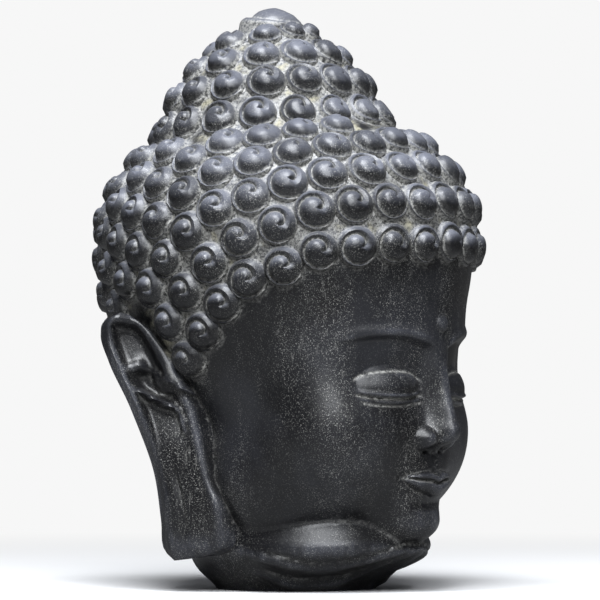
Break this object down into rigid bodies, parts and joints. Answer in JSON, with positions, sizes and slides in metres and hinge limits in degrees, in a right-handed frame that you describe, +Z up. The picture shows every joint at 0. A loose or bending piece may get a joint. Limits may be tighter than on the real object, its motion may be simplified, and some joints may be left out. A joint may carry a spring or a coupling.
{
  "type": "stone buddha head",
  "caption": "Dark carved stone head of a Buddha with lowered eyes, a cap of snail curls, a curled topknot, long ears and a short folded neck cut flat to stand on.",
  "frame": {"origin": "on the flat underside of the neck, on the head's middle plane and below the middle of the skull", "axes": "+Z up to the knob of the topknot, -Y the way the face looks, +X the head's left"},
  "size_m": [0.3214, 0.35, 0.5],
  "materials": {
    "dark_stone": "satin, blackened, with pale dust in the carving"
  },
  "bodies": {
    "root": {"buddha_head": "dark_stone"}
  },
  "joints": []
}
